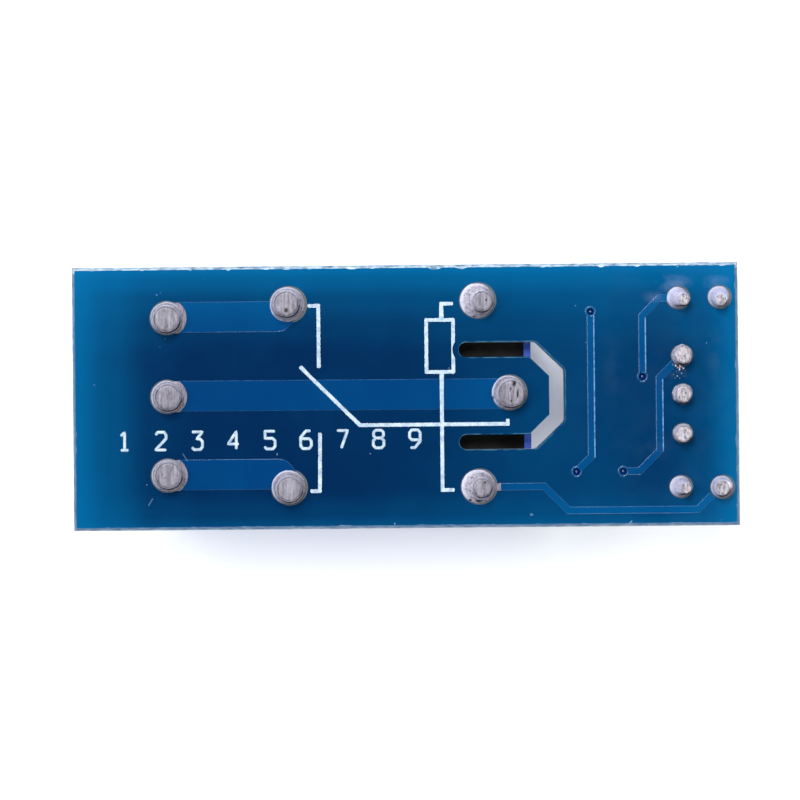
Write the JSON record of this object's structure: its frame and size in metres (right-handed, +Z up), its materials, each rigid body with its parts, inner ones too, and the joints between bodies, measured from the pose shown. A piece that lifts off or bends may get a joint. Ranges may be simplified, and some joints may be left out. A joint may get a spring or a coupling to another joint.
{
  "type": "relay module board",
  "caption": "Narrow blue circuit board lying solder side up on its box relay, with screw terminals, pin header and lamps underneath.",
  "frame": {"origin": "centre of the board outline, on the surface that the relay's top face rests on", "axes": "+X along the board from the screw terminals to the pin header, +Y across the board, +Z up, out of the solder side"},
  "size_m": [0.043, 0.017, 0.0183],
  "materials": {
    "board_mask": "glossy blue solder mask over glass-epoxy laminate",
    "masked_copper": "glossy blue mask over copper",
    "print_ink": "matt white printed ink",
    "solder": "cast solder, clipped tips",
    "case_blue": "smooth blue moulding",
    "base_black": "black moulding",
    "seal_resin": "cured black resin",
    "bobbin_plastic": "natural moulding",
    "enamelled_wire": "enamelled copper winding",
    "soft_iron": "zinc-plated iron",
    "spring_bronze": "rolled bronze strip",
    "contact_silver": "silver alloy contact",
    "tinned_metal": "tinned strip",
    "terminal_blue": "blue moulding",
    "plated_steel": "zinc-plated steel",
    "header_black": "black moulding",
    "gilt_pin": "thin gilt plating",
    "lens_red": "tinted diffusing lens",
    "lens_green": "tinted diffusing lens",
    "chip_ceramic": "black-glazed resistor body",
    "chip_epoxy": "moulded black epoxy"
  },
  "bodies": {
    "board": {"base_seal": "seal_resin", "chip_resistor_1": "chip_ceramic", "chip_resistor_2": "chip_ceramic", "chip_resistor_3": "chip_ceramic", "circuit_board": "board_mask", "coil_bobbin": "bobbin_plastic", "coil_core": "soft_iron", "coil_terminals": "tinned_metal", "coil_winding": "enamelled_wire", "common_terminal": "tinned_metal", "component_side_tracks": "masked_copper", "contact_strip_1": "tinned_metal", "contact_strip_2": "tinned_metal", "contact_strip_3": "tinned_metal", "diode_body": "chip_epoxy", "diode_leads": "tinned_metal", "fixed_contacts": "contact_silver", "header_joints": "solder", "header_pin_1": "gilt_pin", "header_pin_2": "gilt_pin", "header_pin_3": "gilt_pin", "header_spacer": "header_black", "led_joints": "solder", "normally_closed_terminal": "tinned_metal", "normally_open_terminal": "tinned_metal", "power_led_leads": "tinned_metal", "power_led_lens": "lens_red", "printed_symbol": "print_ink", "relay_base": "base_black", "relay_case": "case_blue", "relay_joints": "solder", "resistor_caps": "tinned_metal", "solder_side_tracks": "masked_copper", "status_led_leads": "tinned_metal", "status_led_lens": "lens_green", "surface_solder": "solder", "terminal_housing": "terminal_blue", "terminal_joints": "solder", "transistor_body": "chip_epoxy", "transistor_leads": "tinned_metal", "via_barrels": "masked_copper", "yoke": "soft_iron"},
    "armature_assembly": {"armature": "soft_iron", "contact_spring": "spring_bronze", "moving_contact": "contact_silver"},
    "screw_1": {"clamp_screw_1": "plated_steel"},
    "cage_1": {"wire_cage_1": "plated_steel"},
    "screw_2": {"clamp_screw_2": "plated_steel"},
    "cage_2": {"wire_cage_2": "plated_steel"},
    "screw_3": {"clamp_screw_3": "plated_steel"},
    "cage_3": {"wire_cage_3": "plated_steel"}
  },
  "joints": [
    {"name": "armature_hinge", "type": "hinge", "parent": "board", "child": "armature_assembly", "pos_m": [0.00645, 0.00012, 0.0045], "axis": [0, 1, 0], "range_deg": [0, 3], "stiffness_Nm_per_rad": 0.03, "springref_deg": -2.86},
    {"name": "wire_cage_1_slide", "type": "slide", "parent": "board", "child": "cage_1", "axis": [0, 0, -1], "range_m": [0, 0.0018]},
    {"name": "clamp_screw_1_spin", "type": "hinge", "parent": "board", "child": "screw_1", "pos_m": [-0.01546, -0.00493, 0.0074], "axis": [0, 0, 1], "range_deg": [0, 1441]},
    {"name": "wire_cage_2_slide", "type": "slide", "parent": "board", "child": "cage_2", "axis": [0, 0, -1], "range_m": [0, 0.0018]},
    {"name": "clamp_screw_2_spin", "type": "hinge", "parent": "board", "child": "screw_2", "pos_m": [-0.01546, 0.00015, 0.0074], "axis": [0, 0, 1], "range_deg": [0, 1441]},
    {"name": "wire_cage_3_slide", "type": "slide", "parent": "board", "child": "cage_3", "axis": [0, 0, -1], "range_m": [0, 0.0018]},
    {"name": "clamp_screw_3_spin", "type": "hinge", "parent": "board", "child": "screw_3", "pos_m": [-0.01546, 0.00523, 0.0074], "axis": [0, 0, 1], "range_deg": [0, 1441]}
  ],
  "couplings": [
    {"joint": "clamp_screw_1_spin", "follows": "wire_cage_1_slide", "rad_per_m": 13963},
    {"joint": "clamp_screw_2_spin", "follows": "wire_cage_2_slide", "rad_per_m": 13963},
    {"joint": "clamp_screw_3_spin", "follows": "wire_cage_3_slide", "rad_per_m": 13963}
  ]
}
